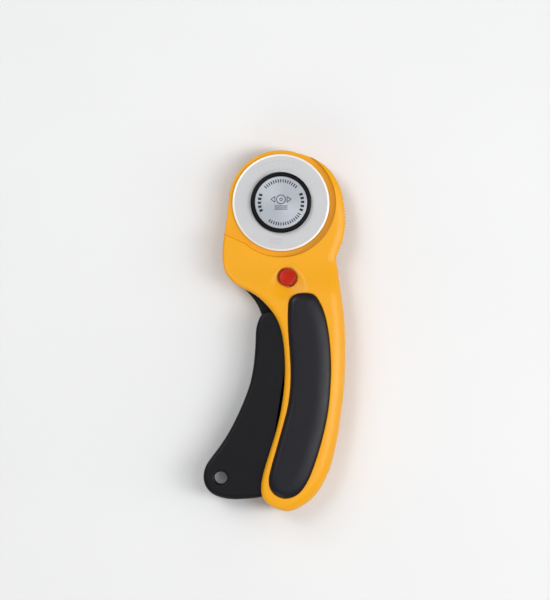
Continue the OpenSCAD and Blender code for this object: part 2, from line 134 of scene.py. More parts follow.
# Ribs of the finger rest
RIB_PITCH, RIB_DEPTH = 1.45, 0.34
RIBS_LOW, RIBS_HIGH = -25, 9.5
GRIP = [
    (11, -41.9), (7.2, -42.3), (4.2, -44.4), (3.3, -48.5), (3.3, -58), (4, -68), (4.5, -77), (4.3, -86),
    (3.1, -95), (1.2, -102.5), (-0.6, -109), (-2.7, -116.5), (-4.4, -122.5), (-5.6, -128.5), (-4.8, -133),
    (-2, -136), (2.6, -137.2), (8, -135), (12, -129.7), (14.9, -123), (17.4, -115.5), (19.8, -106.5),
    (21.7, -97), (22.7, -87), (23.1, -77), (22.6, -66), (21.3, -56.5), (19.3, -49.3), (16.4, -43.8),
    (14.2, -42.3),
]  # fmt: skip
LEVER = [
    (-0.8, -50.6), (-5, -50), (-8.4, -51.3), (-10.4, -54.5), (-11.6, -59), (-11.9, -66), (-12.6, -74.5),
    (-14, -82.6), (-16.3, -89.7), (-19.6, -97.6), (-23.8, -106), (-28, -112.7), (-32, -118),
    (-34.9, -122.3), (-36, -126.6), (-35.4, -130.8), (-32.9, -134.4), (-28.6, -136.7), (-22.5, -137.7),
    (-15.5, -137.5), (-9.5, -136.8), (-5.4, -135), (-3.4, -131.5), (-2.9, -126.5), (-0.4, -118),
    (2.7, -108), (5, -98), (6.2, -87), (7, -76), (7.3, -66), (6.4, -57.5), (3.6, -52),
]  # fmt: skip
ARM = [
    (8.4, 1.5), (5.8, 6.2), (0, 8.5), (-6, 6), (-8.6, 0), (-10, -8), (-12.8, -16), (-16, -23.5),
    (-19.3, -29.5), (-19.3, -34.5), (-16.9, -39.9), (-13.5, -43.8), (-10.7, -48), (-8.9, -52.5),
    (-7.4, -59), (-6, -66), (-3.4, -71.5), (0.6, -73.2), (4.2, -71.6), (5.7, -66), (5.2, -58), (2.6, -50),
    (2.4, -43.9), (6, -41.2), (8.6, -37.2), (8.2, -32.6), (4.8, -29.8), (0, -28.8), (-3.6, -26.5),
    (-4.2, -20), (-0.8, -13.4), (4.8, -7.6), (7.8, -3.4),
]  # fmt: skip


# ---------------------------------------------------------------- lines in plan


def catmull(points, steps=12):
    """Smooth closed line through points."""
    p = np.array(points, float)
    made = []
    for i in range(len(p)):
        a, b, c, d = (p[(i + k) % len(p)] for k in (-1, 0, 1, 2))
        squared = 2 * a - 5 * b + 4 * c - d
        cubed = 3 * b - a - 3 * c + d
        for t in np.arange(steps) / steps:
            made.append(0.5 * (2 * b + (c - a) * t + squared * t**2 + cubed * t**3))
    return np.array(made)


def evenly(line, spacing, closed=True):
    """The same line with its points an even distance apart."""
    ring = np.vstack([line, line[:1]]) if closed else line
    run = np.concatenate([[0], np.cumsum(np.linalg.norm(np.diff(ring, axis=0), axis=1))])
    count = max(int(round(run[-1] / spacing)), 3)
    at = np.linspace(0, run[-1], count, endpoint=False) if closed else np.linspace(0, run[-1], count + 1)
    return np.column_stack([np.interp(at, run, ring[:, k]) for k in (0, 1)])


def relaxed(line, passes):
    """A closed line with its small wobbles averaged out."""
    for _ in range(passes):
        line = (np.roll(line, 1, 0) + 2 * line + np.roll(line, -1, 0)) / 4
    return line


def smooth_outline(points, spacing=0.5, passes=6):
    return relaxed(evenly(catmull(points), spacing), passes)


def normals_in(line):
    """Inward normals of a counter-clockwise line."""
    along = np.roll(line, -1, 0) - np.roll(line, 1, 0)
    along /= np.linalg.norm(along, axis=1)[:, None]
    return np.column_stack([-along[:, 1], along[:, 0]])


def ribbed(line):
    """(whole line, ribbed part) of the body's line with the finger rest's ribs standing out of it."""
    near = np.flatnonzero((line[:, 0] > 20) & (line[:, 1] > RIBS_LOW) & (line[:, 1] < RIBS_HIGH))
    first, last = near[0], near[-1]
    spacing, fade_in, fade_out = 0.15, 0.9, 4
    part = evenly(line[first : last + 1], spacing, closed=False)
    inward = normals_in(part)
    inward[0], inward[-1] = inward[1], inward[-2]
    run = np.arange(len(part)) * spacing
    fade = np.clip(np.minimum(run / fade_in, (run[-1] - run) / fade_out), 0, 1)
    part = part - (RIB_DEPTH / 2 * (1 - np.cos(2 * math.pi * run / RIB_PITCH)) * fade)[:, None] * inward
    return np.vstack([line[:first], part, line[last + 1 :]]), part


def circle(at, r, spacing):
    count = max(int(2 * math.pi * r / spacing), 12)
    a = np.linspace(0, 2 * math.pi, count, endpoint=False)
    return np.array(at) + r * np.column_stack([np.cos(a), np.sin(a)])


def capsule(start, end, r):
    """Outline of a slot between two points."""
    along = math.atan2(end[1] - start[1], end[0] - start[0])
    a = np.linspace(-math.pi / 2, math.pi / 2, 32)
    turn = [
        (np.cos(a + along + extra), np.sin(a + along + extra), at)
        for extra, at in ((0, end), (math.pi, start))
    ]
    return np.vstack([np.array(at) + r * np.column_stack([c, s]) for c, s, at in turn])


def clipped(line, limit, keep_above):
    """The part of a closed line above or below y = limit."""
    sign = 1 if keep_above else -1
    made = []
    for a, b in zip(line, np.roll(line, -1, 0), strict=True):
        over_a, over_b = sign * (a[1] - limit), sign * (b[1] - limit)
        if over_a >= 0:
            made.append(a)
        if over_a * over_b < 0:
            made.append(a + (b - a) * over_a / (over_a - over_b))
    return np.array(made)


def tree_of(points):
    tree = KDTree(len(points))
    for i, p in enumerate(points):
        tree.insert((p[0], p[1], 0), i)
    tree.balance()
    return tree


class Rim:
    """A closed counter-clockwise line that can say how far inside it a point lies, and on which side."""

    def __init__(self, line):
        self.line = line
        self.inward = normals_in(line)
        self.tree = tree_of(line)

    def facing(self, xy, reach=2.5):
        """Inward normal's x for each point, averaged over the part of the line that is about nearest."""
        made = []
        for some in np.array_split(xy, max(len(xy) // 2000, 1)):
            square = ((some[:, None, :] - self.line[None, :, :]) ** 2).sum(axis=2)
            share = np.exp(-(square - square.min(axis=1)[:, None]) / (2 * reach**2))
            made.append((share @ self.inward[:, 0]) / share.sum(axis=1))
        return np.concatenate(made)

    def depth(self, xy):
        """Distance inside the line for each point, negative outside it."""
        near = np.array([self.tree.find((x, y, 0))[1] for x, y in xy])
        m = len(self.line)
        best = np.full(len(xy), np.inf)
        signed = np.zeros(len(xy))
        for step in (-1, 0):
            a = self.line[(near + step) % m]
            d = self.line[(near + step + 1) % m] - a
            t = np.clip(np.einsum("ij,ij->i", xy - a, d) / np.einsum("ij,ij->i", d, d), 0, 1)
            off = xy - (a + t[:, None] * d)
            far = np.linalg.norm(off, axis=1)
            inward = np.column_stack([-d[:, 1], d[:, 0]])
            closer = far < best
            best[closer] = far[closer]
            signed[closer] = (far * np.sign(np.einsum("ij,ij->i", off, inward)))[closer]
        return signed


def finger_side(normal_x):
    """0 where the rim faces the lever, 1 where it faces the fingers."""
    return np.clip(0.5 - 0.9 * normal_x, 0, 1)


# ---------------------------------------------------------------- heights


def mix(a, b, t):
    return a + (b - a) * t


def eased(v, low, high):
    t = np.clip((v - low) / (high - low), 0, 1)
    return t * t * (3 - 2 * t)


def rounding(depth, wide, tall):
    """How far a rounded edge, wide in plan and tall in height, has dropped at a depth inside it."""
    u = np.clip(1 - depth / wide, 0, 1)
    return tall * (1 - np.sqrt(1 - u * u))


def stepped(upper, lower, gap, lip, root):
    """Upper where gap is positive and lower where it is negative, with a rounded lip and a rounded root."""
    wall = 0.03
    over = upper - rounding(gap - wall, lip, lip)
    under = lower + rounding(-gap - wall, root, root)
    t = np.clip((gap + wall) / (2 * wall), 0, 1)
    return np.where(gap > wall, over, np.where(gap < -wall, under, mix(lower + root, upper - lip, t)))


def recess_gap(xy):
    """Distance outside the blade's recess: a round that leaves the head along a straight way."""
    along = np.array([math.cos(EXIT), math.sin(EXIT)])
    u = xy @ along
    v = xy @ np.array([-along[1], along[0]])
    round_part = np.linalg.norm(xy, axis=1) - RECESS_R
    way_out = np.maximum(np.abs(v) - RECESS_HALF, -u)
    return np.minimum(round_part, way_out)


def recess_edge(spacing=0.4):
    """(points, outward normals) along the recess, in plan."""
    meet = math.sqrt(RECESS_R**2 - RECESS_HALF**2)
    turn = math.atan2(RECESS_HALF, meet)
    a = np.arange(turn, 2 * math.pi - turn, spacing / RECESS_R)
    arc = np.column_stack([np.cos(a), np.sin(a)])
    out = np.arange(meet + spacing, 34, spacing)
    points, normals = [arc * RECESS_R], [arc]
    for side in (1, -1):
        points.append(np.column_stack([out, np.full(len(out), side * RECESS_HALF)]))
        normals.append(np.tile([0.0, side], (len(out), 1)))
    turned = np.array([[math.cos(EXIT), math.sin(EXIT)], [-math.sin(EXIT), math.cos(EXIT)]])
    return np.vstack(points) @ turned, np.vstack(normals) @ turned


# Width and height of the body's rounded edge on either side
HANDLE_EDGE = {"lever": (2.2, 2.2), "finger": (5.6, 6.0)}
HEAD_EDGE = {"lever": (1.3, 1.2), "finger": (4.2, 2.3)}
# Cone that rises round the lock button
DISH_R, DISH_RISE, DISH_SLOPE = 4.8, 0.6, 2 / 4.4


def edge_size(y, side):
    """(width, height) of the body's rounded edge, from its place along the tool and its side."""
    head = eased(y, SLOPE_END, SLOPE_START)
    return [
        mix(
            mix(HANDLE_EDGE["lever"][k], HANDLE_EDGE["finger"][k], side),
            mix(HEAD_EDGE["lever"][k], HEAD_EDGE["finger"][k], side),
            head,
        )
        for k in (0, 1)
    ]


def body_height(body, pocket, with_recess):
    """Height of a shell's outer face, as a function of place."""

    def height(xy):
        y = xy[:, 1]
        inside = body.depth(xy)
        wide, tall = edge_size(y, finger_side(body.facing(xy)))
        drop = rounding(inside, wide, tall)
        top = mix(CROWN, HEAD_TOP, eased(y, SLOPE_END, SLOPE_START)) - drop
        top = stepped(top, POCKET_FLOOR, -pocket.depth(xy), lip=0.35, root=0.05)
        from_button = np.linalg.norm(xy - BUTTON, axis=1)
        dish = HEAD_TOP + DISH_RISE + (from_button - DISH_R) * DISH_SLOPE
        blend_height = 0.8
        blend = np.clip(0.5 + (top - dish) / blend_height, 0, 1)
        top = mix(top, dish, blend) - blend_height / 2 * blend * (1 - blend)
        if with_recess:
            floor = RECESS - rounding(inside, 0.5, 0.5)
            top = np.minimum(top, stepped(top, floor, recess_gap(xy), lip=0.5, root=0.5))
        return top

    return height


# ---------------------------------------------------------------- meshes


def solid(name, points, faces):
    """Mesh object from points in millimetres about the axle."""
    at = (np.asarray(points, float) + np.array([AXLE.x, AXLE.y, 0])) * MM
    mesh = bpy.data.meshes.new(name)
    mesh.from_pydata(at.tolist(), [], faces)
    mesh.update()
    obj = bpy.data.objects.new(name, mesh)
    bpy.context.scene.collection.objects.link(obj)
    return obj


def prism(line, low, high):
    """Straight-sided solid, used to cut or to join."""
    n = len(line)
    points = [(x, y, z) for z in (low, high) for x, y in line]
    walls = [(i, (i + 1) % n, n + (i + 1) % n, n + i) for i in range(n)]
    return solid("cutter", points, [tuple(range(n - 1, -1, -1)), tuple(range(n, 2 * n)), *walls])


def rod(at, r, low, high):
    return prism(circle(at, r, 0.3), low, high)


def combined(obj, others, operation="DIFFERENCE"):
    """Cuts the other solids from obj, or joins them to it."""
    for other in others:
        step = obj.modifiers.new("combine", "BOOLEAN")
        step.operation, step.object, step.solver = operation, other, "MANIFOLD"
    graph = bpy.context.evaluated_depsgraph_get()
    made = bpy.data.meshes.new_from_object(obj.evaluated_get(graph))
    obj.modifiers.clear()
    obj.data = made
    for other in others:
        bpy.data.objects.remove(other)
    return obj


def shaded(obj, sharp=35):
    obj.data.shade_smooth()
    obj.data.set_sharp_from_angle(angle=math.radians(sharp))
    return obj


def turned_over(obj):
    """The same mesh mirrored to the tool's other face."""
    flip = Matrix.Translation((0, 0, TOOL_TOP * MM)) @ Matrix.Diagonal((1, 1, -1, 1))
    obj.data.transform(flip)
    obj.data.flip_normals()
    return obj


def outer_loop(triangles):
    """Boundary of a triangulated area, in order."""
    directed = {(t[i], t[(i + 1) % 3]) for t in triangles for i in range(3)}
    follow = {a: b for a, b in directed if (b, a) not in directed}
    start = next(iter(follow))
    loop = [start]
    while follow[loop[-1]] != start:
        loop.append(follow[loop[-1]])
    return loop


def relief(name, rim, height, base, guides, spacing=1.2, groove=0.0):
    """Closed slab: its plan is the rim, its upper face follows height, and its underside is flat at base.
    guides are points in plan where the surface bends, and a groove is cut round the foot of its wall."""
    inner = np.vstack([g[rim.depth(g) > 0.02] for g in guides])
    low, high = rim.line.min(0), rim.line.max(0)
    rows = np.arange(low[1], high[1], spacing * 0.87)
    columns = np.arange(low[0], high[0], spacing)
    grid = np.array([(x + (k % 2) * spacing / 2, y) for k, y in enumerate(rows) for x in columns])
    grid = grid[rim.depth(grid) > spacing / 2]
    near = tree_of(inner)
    grid = np.array([p for p in grid if near.find((p[0], p[1], 0))[2] > spacing * 0.6])
    plan = np.vstack([rim.line, inner, grid])
    n = len(rim.line)
    edges = [(i, (i + 1) % n) for i in range(n)]
    verts, _, tris, *_ = delaunay_2d_cdt([Vector(p) for p in plan], edges, [], 1, 1e-4)
    xy = np.array([tuple(v) for v in verts])
    upper = np.column_stack([xy, height(xy)])
    loop = outer_loop(tris)
    edge = xy[loop]
    foot = edge + groove * normals_in(edge)
    levels = [(edge, base + groove), (foot, base)] if groove else [(edge, base)]
    points = [upper] + [np.column_stack([p, np.full(len(p), z)]) for p, z in levels]
    faces = [tuple(t) for t in tris]
    above = loop
    start, m = len(upper), len(loop)
    for _ in levels:
        below = list(range(start, start + m))
        faces += [(below[i], below[(i + 1) % m], above[(i + 1) % m], above[i]) for i in range(m)]
        above, start = below, start + m
    faces.append(tuple(reversed(above)))
    return solid(name, np.vstack(points), faces)


def edge_guides(line, widths, count=9):
    """Rows of points down a rounded edge, closer together towards the rim."""
    inward = normals_in(line)
    angles = np.linspace(0, math.pi / 2, count + 1)[1:]
    rows = [line + (widths * (1 - math.cos(a)))[:, None] * inward for a in angles]
    rim = Rim(line)
    kept = []
    for row, a in zip(rows, angles, strict=True):
        wanted = widths * (1 - math.cos(a))
        kept.append(row[rim.depth(row) > 0.96 * wanted])
    return kept


def offset_guides(points, outward, gaps):
    return [points + gap * outward for gap in gaps]


def pillow(name, line, low, high, edge, steps=8):
    """Slab with both faces flat and all edges rounded. edge is (width, height) below and above."""
    inward = normals_in(line)
    rows = []
    for (wide, tall), face, way in ((edge[0], low, 1), (edge[1], high, -1)):
        angles = np.linspace(0, math.pi / 2, steps + 1)
        ring = [
            np.column_stack(
                [
                    line + wide * (1 - math.cos(a)) * inward,
                    np.full(len(line), face + way * tall * (1 - math.sin(a))),
                ]
            )
            for a in angles
        ]
        inner = np.column_stack([line + (wide + 0.25) * inward, np.full(len(line), face)])
        ring.append(inner)
        rows += ring[::-1] if way == 1 else ring
    n, m = len(line), len(rows)
    faces = [
        (k * n + i, k * n + (i + 1) % n, (k + 1) * n + (i + 1) % n, (k + 1) * n + i)
        for k in range(m - 1)
        for i in range(n)
    ]
    faces += [tuple(range(n - 1, -1, -1)), tuple(range((m - 1) * n, m * n))]
    return solid(name, np.vstack(rows), faces)


def slabs(name, plans, low, high):
    """Several thin flat blocks as one object."""
    points, faces = [], []
    for plan in plans:
        start, n = len(points), len(plan)
        points += [(x, y, z) for z in (low, high) for x, y in plan]
        faces.append(tuple(start + i for i in range(n - 1, -1, -1)))
        faces.append(tuple(start + n + i for i in range(n)))
        faces += [(start + i, start + (i + 1) % n, start + n + (i + 1) % n, start + n + i) for i in range(n)]
    return solid(name, points, faces)


def sector(first, last, near, far):
    """Four corners of a piece of a ring round the axle, counter-clockwise."""
    corners = ((near, first), (far, first), (far, last), (near, last))
    return [(r * math.cos(a), r * math.sin(a)) for r, a in corners]


def softened(profile, sizes, steps=5):
    """Profile with its corners rounded by the given sizes."""
    made = [profile[0]]
    for before, corner, after, size in zip(profile, profile[1:], profile[2:], sizes[1:], strict=False):
        before, corner, after = (np.array(p, float) for p in (before, corner, after))
        if size == 0:
            made.append(tuple(corner))
            continue
        a = corner + (before - corner) / np.linalg.norm(before - corner) * size
        b = corner + (after - corner) / np.linalg.norm(after - corner) * size
        for t in np.linspace(0, 1, steps + 1):
            made.append(tuple((1 - t) ** 2 * a + 2 * t * (1 - t) * corner + t * t * b))
    return made + [profile[-1]]


def lathe(name, profile, segments, at=(0, 0)):
    """Solid of revolution. The profile runs from the axis to the axis, or closes on itself round a bore."""
    angles = np.linspace(0, 2 * math.pi, segments, endpoint=False)
    points, rings = [], []
    for r, z in profile:
        if r < 1e-6:
            rings.append([len(points)] * segments)
            points.append((at[0], at[1], z))
        else:
            rings.append(list(range(len(points), len(points) + segments)))
            points += [(at[0] + r * math.cos(a), at[1] + r * math.sin(a), z) for a in angles]
    if profile[0][0] > 1e-6:
        rings.append(rings[0])
    faces = []
    for lower, upper in zip(rings, rings[1:], strict=False):
        for i in range(segments):
            j = (i + 1) % segments
            corners = (lower[i], lower[j], upper[j], upper[i])
            faces.append(tuple(dict.fromkeys(corners)))
    return solid(name, points, faces)


# ---------------------------------------------------------------- materials


class Paint:
    """A node material being built."""

    def __init__(self, name):
        self.material = bpy.data.materials.new(name)
        self.material.use_nodes = True
        self.tree = self.material.node_tree
        self.shader = self.tree.nodes["Principled BSDF"]
        self.place = self.add("ShaderNodeTexCoord").outputs["Object"]

    def add(self, kind, inputs=None, **settings):
        node = self.tree.nodes.new(kind)
        for key, value in settings.items():
            setattr(node, key, value)
        for key, value in (inputs or {}).items():
            if isinstance(value, bpy.types.NodeSocket):
                self.tree.links.new(value, node.inputs[key])
            else:
                node.inputs[key].default_value = value
        return node

    def noise(self, per_mm, detail=3.0):
        inputs = {"Vector": self.place, "Scale": per_mm / MM, "Detail": detail}
        return self.add("ShaderNodeTexNoise", inputs).outputs["Fac"]

    def ranged(self, value, low, high, to_low, to_high):
        inputs = {"Value": value, "From Min": low, "From Max": high, "To Min": to_low, "To Max": to_high}
        return self.add("ShaderNodeMapRange", inputs).outputs["Result"]

    def maths(self, operation, a, b):
        return self.add("ShaderNodeMath", {0: a, 1: b}, operation=operation).outputs[0]

    def blend(self, share, a, b):
        node = self.add("ShaderNodeMix", {0: share, 6: a, 7: b}, data_type="RGBA")
        return node.outputs[2]

    def bump(self, height, depth_mm):
        inputs = {"Height": height, "Distance": depth_mm * MM, "Strength": 1.0}
        return self.add("ShaderNodeBump", inputs).outputs["Normal"]

    def finish(self, colour, roughness, normal, **constants):
        self.tree.links.new(colour, self.shader.inputs["Base Color"])
        self.tree.links.new(roughness, self.shader.inputs["Roughness"])
        self.tree.links.new(normal, self.shader.inputs["Normal"])
        for key, value in constants.items():
            self.shader.inputs[key.replace("_", " ")].default_value = value
        return self.material


def linear(r, g, b):
    """Linear colour of 8-bit sRGB values."""
    return tuple(
        (c / 255 / 12.92) if c / 255 <= 0.04045 else ((c / 255 + 0.055) / 1.055) ** 2.4
        for c in (r, g, b)
    ) + (1.0,)


def scaled(colour, by):
    return tuple(min(c * by, 1.0) for c in colour[:3]) + (1.0,)


def moulded(name, colour, rough, grain, depth, rub_and_highlight_colour, mottle=0.04, rub_and_highlight_share=0.3, painted_shade=None, **constants):
    """Moulded plastic or rubber: slow colour changes, fine grain, edges lighter (edge wear, and on the red
    button a painted highlight), and hollows darkened with painted shade.
    """
    paint = Paint(name)
    slow = paint.noise(0.05, 2.0)
    base = paint.blend(slow, scaled(colour, 1 - mottle), scaled(colour, 1 + mottle))
    if painted_shade is not None:
        # Painted shade: ambient occlusion darkens the colour in hollows and recesses, where shade falls.
        open_air = paint.add("ShaderNodeAmbientOcclusion", {"Distance": 4 * MM}, samples=8).outputs["AO"]
        hollow = paint.ranged(open_air, 0.85, 0.25, 0.0, 0.7)
        base = paint.blend(hollow, base, painted_shade)
    # Edges are lightened: edge wear, and on the red button a painted highlight round its crown.
    exposed = paint.add("ShaderNodeNewGeometry").outputs["Pointiness"]
    rub_and_highlight_mask = paint.ranged(exposed, 0.52, 0.62, 0.0, rub_and_highlight_share)
    patchy = paint.maths("MULTIPLY", rub_and_highlight_mask, paint.ranged(paint.noise(0.4, 4.0), 0.35, 0.65, 0.2, 1.0))
    base = paint.blend(patchy, base, rub_and_highlight_colour)
    fine = paint.noise(grain, 3.0)
    smears = paint.noise(0.15, 3.0)
    roughness = paint.ranged(smears, 0.3, 0.7, rough - 0.02, rough + 0.03)
    return paint.finish(base, roughness, paint.bump(fine, depth), **constants)


def turned_metal(name, colour, rough, lines_per_mm, depth, contrast, painted_sheen=0.0, **constants):
    """Metal with fine rings round the blade's axle, and a painted sheen that makes it lighter along one
    diagonal.
    """
    paint = Paint(name)
    off = paint.add(
        "ShaderNodeVectorMath", {0: paint.place, 1: (AXLE.x * MM, AXLE.y * MM, 0)}, operation="SUBTRACT"
    ).outputs[0]
    parts = paint.add("ShaderNodeSeparateXYZ", {0: off}).outputs
    flat = paint.add("ShaderNodeCombineXYZ", {"X": parts["X"], "Y": parts["Y"]}).outputs[0]
    radius = paint.add("ShaderNodeVectorMath", {0: flat}, operation="LENGTH").outputs["Value"]
    rings = paint.add(
        "ShaderNodeTexNoise", {"W": radius, "Scale": lines_per_mm / MM, "Detail": 4.0}, noise_dimensions="1D"
    ).outputs["Fac"]
    slow = paint.noise(0.08, 2.0)
    tone = paint.maths("ADD", paint.maths("MULTIPLY", rings, 0.6), paint.maths("MULTIPLY", slow, 0.4))
    base = paint.blend(tone, scaled(colour, 1 - contrast), scaled(colour, 1 + contrast))
    # Painted sheen: lighter along one diagonal, standing in for the reflection on turned satin metal.
    crossed = paint.maths("MULTIPLY", parts["X"], parts["Y"])
    squared = paint.maths("MAXIMUM", paint.maths("MULTIPLY", radius, radius), 1e-7)
    diagonal = paint.maths("SUBTRACT", 0.5, paint.maths("DIVIDE", crossed, squared))
    base = paint.blend(paint.ranged(diagonal, 0.2, 1.0, 0.0, painted_sheen), base, scaled(colour, 1.5))
    specks = paint.noise(1.5, 4.0)
    roughness = paint.ranged(specks, 0.3, 0.7, rough - 0.05, rough + 0.05)
    return paint.finish(base, roughness, paint.bump(rings, depth), **constants)


def metal(name, colour, rough, **constants):
    """Plain worked metal for fastenings and springs."""
    paint = Paint(name)
    stain = paint.noise(0.6, 4.0)
    base = paint.blend(stain, scaled(colour, 0.85), scaled(colour, 1.1))
    exposed = paint.add("ShaderNodeNewGeometry").outputs["Pointiness"]
    bright = paint.ranged(exposed, 0.53, 0.65, 0.0, 0.5)
    base = paint.blend(bright, base, scaled(colour, 1.3))
    roughness = paint.ranged(paint.noise(2.0, 4.0), 0.3, 0.7, rough - 0.07, rough + 0.07)
    return paint.finish(base, roughness, paint.bump(paint.noise(5.0), 0.004), Metallic=1.0, **constants)


# The yellow's darker hollow colour is painted shade for the blade's recess and other hollows.
YELLOW = moulded(
    "yellow_plastic", linear(236, 163, 3), 0.37, 2.2, 0.005, linear(246, 184, 66),
    mottle=0.025, rub_and_highlight_share=0.4, painted_shade=linear(222, 147, 0), Specular_IOR_Level=0.36,
)  # fmt: skip
RUBBER = moulded(
    "grip_rubber", linear(13, 12, 21), 0.39, 5.0, 0.008, linear(64, 64, 74), Specular_IOR_Level=0.3
)
NYLON = moulded(
    "lever_nylon", linear(12, 12, 15), 0.42, 4.0, 0.008, linear(60, 60, 64), Specular_IOR_Level=0.19
)
BLACK = moulded(
    "flange_plastic", linear(8, 8, 12), 0.42, 3.0, 0.004, linear(60, 60, 68), Specular_IOR_Level=0.15
)
# The red's pale edge colour, mixed in strongly, is a painted highlight round the button's crown.
RED = moulded(
    "red_plastic", linear(178, 30, 3), 0.42, 2.5, 0.005, linear(250, 150, 138),
    rub_and_highlight_share=0.9, Specular_IOR_Level=0.15,
)  # fmt: skip
INK = moulded(
    "marking_ink", linear(30, 32, 42), 0.7, 6.0, 0.004, linear(90, 92, 102), rub_and_highlight_share=0.2, Specular_IOR_Level=0.2
)
BLADE = turned_metal("blade_steel", linear(197, 197, 197), 0.55, 9.0, 0.0012, contrast=0.03, Metallic=1.0)
ETCH = metal("etched_steel", linear(176, 176, 180), 0.6)
GROUND = turned_metal(
    "ground_edge_steel", linear(236, 232, 220), 0.5, 14.0, 0.0008, contrast=0.02, Metallic=0.5
)
# The disc's lightening along one diagonal is a painted sheen.
SATIN = turned_metal(
    "satin_aluminium", linear(173, 176, 182), 0.57, 6.0, 0.0015, contrast=0.05, painted_sheen=0.35, Metallic=0.9
)
ZINC = metal("zinc_steel", linear(186, 188, 190), 0.34)
SPRING = metal("spring_steel", linear(150, 152, 156), 0.3)
BRASS = metal("brass", linear(200, 164, 92), 0.32)


def dressed(obj, body, material, slot, *nodes):
    """Gives a finished piece its material and its body, and hides the CAD nodes that it stands for."""
    obj.data.materials.clear()
    obj.data.materials.append(material)
    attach(obj, body)
    if nodes:
        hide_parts(*nodes)
    return obj


# ---------------------------------------------------------------- body


def room_cutters(line, head_limit):
    """Hollow of a shell: shallow for the arm in the head, deep for the lever in the handle."""
    wall_thickness, split = 2.2, -48
    wall = evenly(line, 1.2)
    wall = wall + wall_thickness * normals_in(wall)
    neck = [(-19.9, -34.8), (-17.4, -40.4), (-14, -56), (8, -56), (8, -40)]
    opening = [
        (-45, -47.5), (6, -47.5), (9, -60), (9, -118), (3, -133), (-2.5, -139.6), (-5, -150), (-45, -150),
    ]  # fmt: skip
    deep = MID + CHANNEL_HALF
    return [
        prism(clipped(wall, split, True), MID - 1, head_limit),
        prism(clipped(wall, split + 0.5, False), MID - 1, deep),
        prism(neck[::-1], MID - 1, head_limit),
        prism(opening[::-1], MID - 1, deep),
    ]


def button_cutters():
    """The button's hole, with a wider mouth."""
    return [
        rod(BUTTON, BUTTON_R + 0.15, MID - 8, TOOL_TOP + 1),
        rod(BUTTON, BUTTON_R + 0.75, HEAD_TOP - 0.6, TOOL_TOP + 1),
    ]


def swung(at, angle):
    """A point after the lever has swung by angle."""
    c, s = math.cos(angle), math.sin(angle)
    off = np.array(at, float) - PIVOT
    return PIVOT + np.array([off[0] * c - off[1] * s, off[0] * s + off[1] * c])


# Where the shells' surfaces bend: distances from each line in plan at which guide points lie
RIB_GAPS = (0.06, 0.14, 0.26, 0.42, 0.65)
POCKET_GAPS = (-0.3, -0.1, -0.03, 0.03, 0.08, 0.16, 0.26, 0.38, 0.8)
RECESS_GAPS = (-0.9, -0.53, -0.35, -0.2, -0.09, -0.03, 0.03, 0.09, 0.18, 0.3, 0.42, 0.53, 0.9)
BUTTON_RINGS = (3.4, 4.2, 4.8, 5.4, 6.0, 6.6, 7.2, 7.8, 8.4, 9.0, 9.7)


def shell(name, with_recess, head_limit, hub_r, extra_cutters, bosses=()):
    """One half of the body, modelled as the front half."""
    line = smooth_outline(BODY)
    whole, ribs = ribbed(line)
    body = Rim(whole)
    pocket_line = smooth_outline(GRIP)
    pocket = Rim(pocket_line)
    widths = edge_size(line[:, 1], finger_side(normals_in(line)[:, 0]))[0]
    guides = edge_guides(line, widths)
    guides += offset_guides(ribs, normals_in(ribs), RIB_GAPS)
    guides += offset_guides(pocket_line, -pocket.inward, POCKET_GAPS)
    guides += [circle(BUTTON, r, 0.6) for r in BUTTON_RINGS]
    if with_recess:
        guides += offset_guides(*recess_edge(), RECESS_GAPS)
    made = relief(name, body, body_height(body, pocket, with_recess), MID, guides, groove=0.12)
    slot = capsule((0, 0), swung((0, 0), SWING), hub_r + HUB_GAP)
    made = combined(made, [*room_cutters(line, head_limit), prism(slot, head_limit - 1, TOOL_TOP + 1)])
    if bosses:
        made = combined(made, bosses, "UNION")
    return shaded(combined(made, [*button_cutters(), *extra_cutters]))


def front_shell():
    """Front half, with the pin's hole and the rooms of the spring's coil and leg round the pivot."""
    low = FLOOR_OUT - 1
    coil_r, leg_r = 5.2, 10
    spring_room = [
        rod(PIVOT, PIN_R, low, HEAD_TOP - 0.4),
        rod(PIVOT, coil_r, low, FLOOR_OUT + 3.2),
        rod(PIVOT, leg_r, low, FLOOR_OUT + 1.6),
    ]
    made = shell("front_half", True, FLOOR_OUT, FRONT_HUB_R, spring_room)
    return dressed(made, "handle", YELLOW, "yellow_shell", "front_shell")


def rear_shell():
    """Made as a front half, with the screws' seats in its outer face, then turned over."""
    seat = TOOL_TOP - 6.8
    boss_foot = seat - 1
    depth = [TOOL_TOP - FLOOR_IN if y > SLOPE_END else MID + CHANNEL_HALF for _, y in SCREWS]
    bosses = [rod(s, SCREW_BOSS_R, boss_foot, d + 0.6) for s, d in zip(SCREWS, depth, strict=True)]
    holes = [rod(s, SCREW_HEAD_R, seat, TOOL_TOP + 1) for s in SCREWS]
    holes += [rod(s, SCREW_R, MID - 1, seat + 1) for s in SCREWS]
    made = shell("rear_half", False, TOOL_TOP - FLOOR_IN, REAR_HUB_R, holes, bosses)
    return dressed(turned_over(made), "handle", YELLOW, "yellow_shell", "rear_shell")


def grip(name, over, node):
    """Rubber pad, crowned and fuller at its finger side."""
    gap, lever_width, finger_width, drop = 0.2, 3.0, 6.6, 1.75
    outline = smooth_outline(GRIP)
    rim = Rim(outline + gap * normals_in(outline))
    widths = mix(lever_width, finger_width, finger_side(rim.inward[:, 0]))

    def height(xy):
        wide = mix(lever_width, finger_width, finger_side(rim.facing(xy)))
        return TOOL_TOP - rounding(rim.depth(xy), wide, drop)

    made = relief(name, rim, height, POCKET_FLOOR + 0.02, edge_guides(rim.line, widths, 10), spacing=1.3)
    if over:
        turned_over(made)
    return dressed(shaded(made), "handle", RUBBER, "black_grip", node)


# ---------------------------------------------------------------- lever and arm


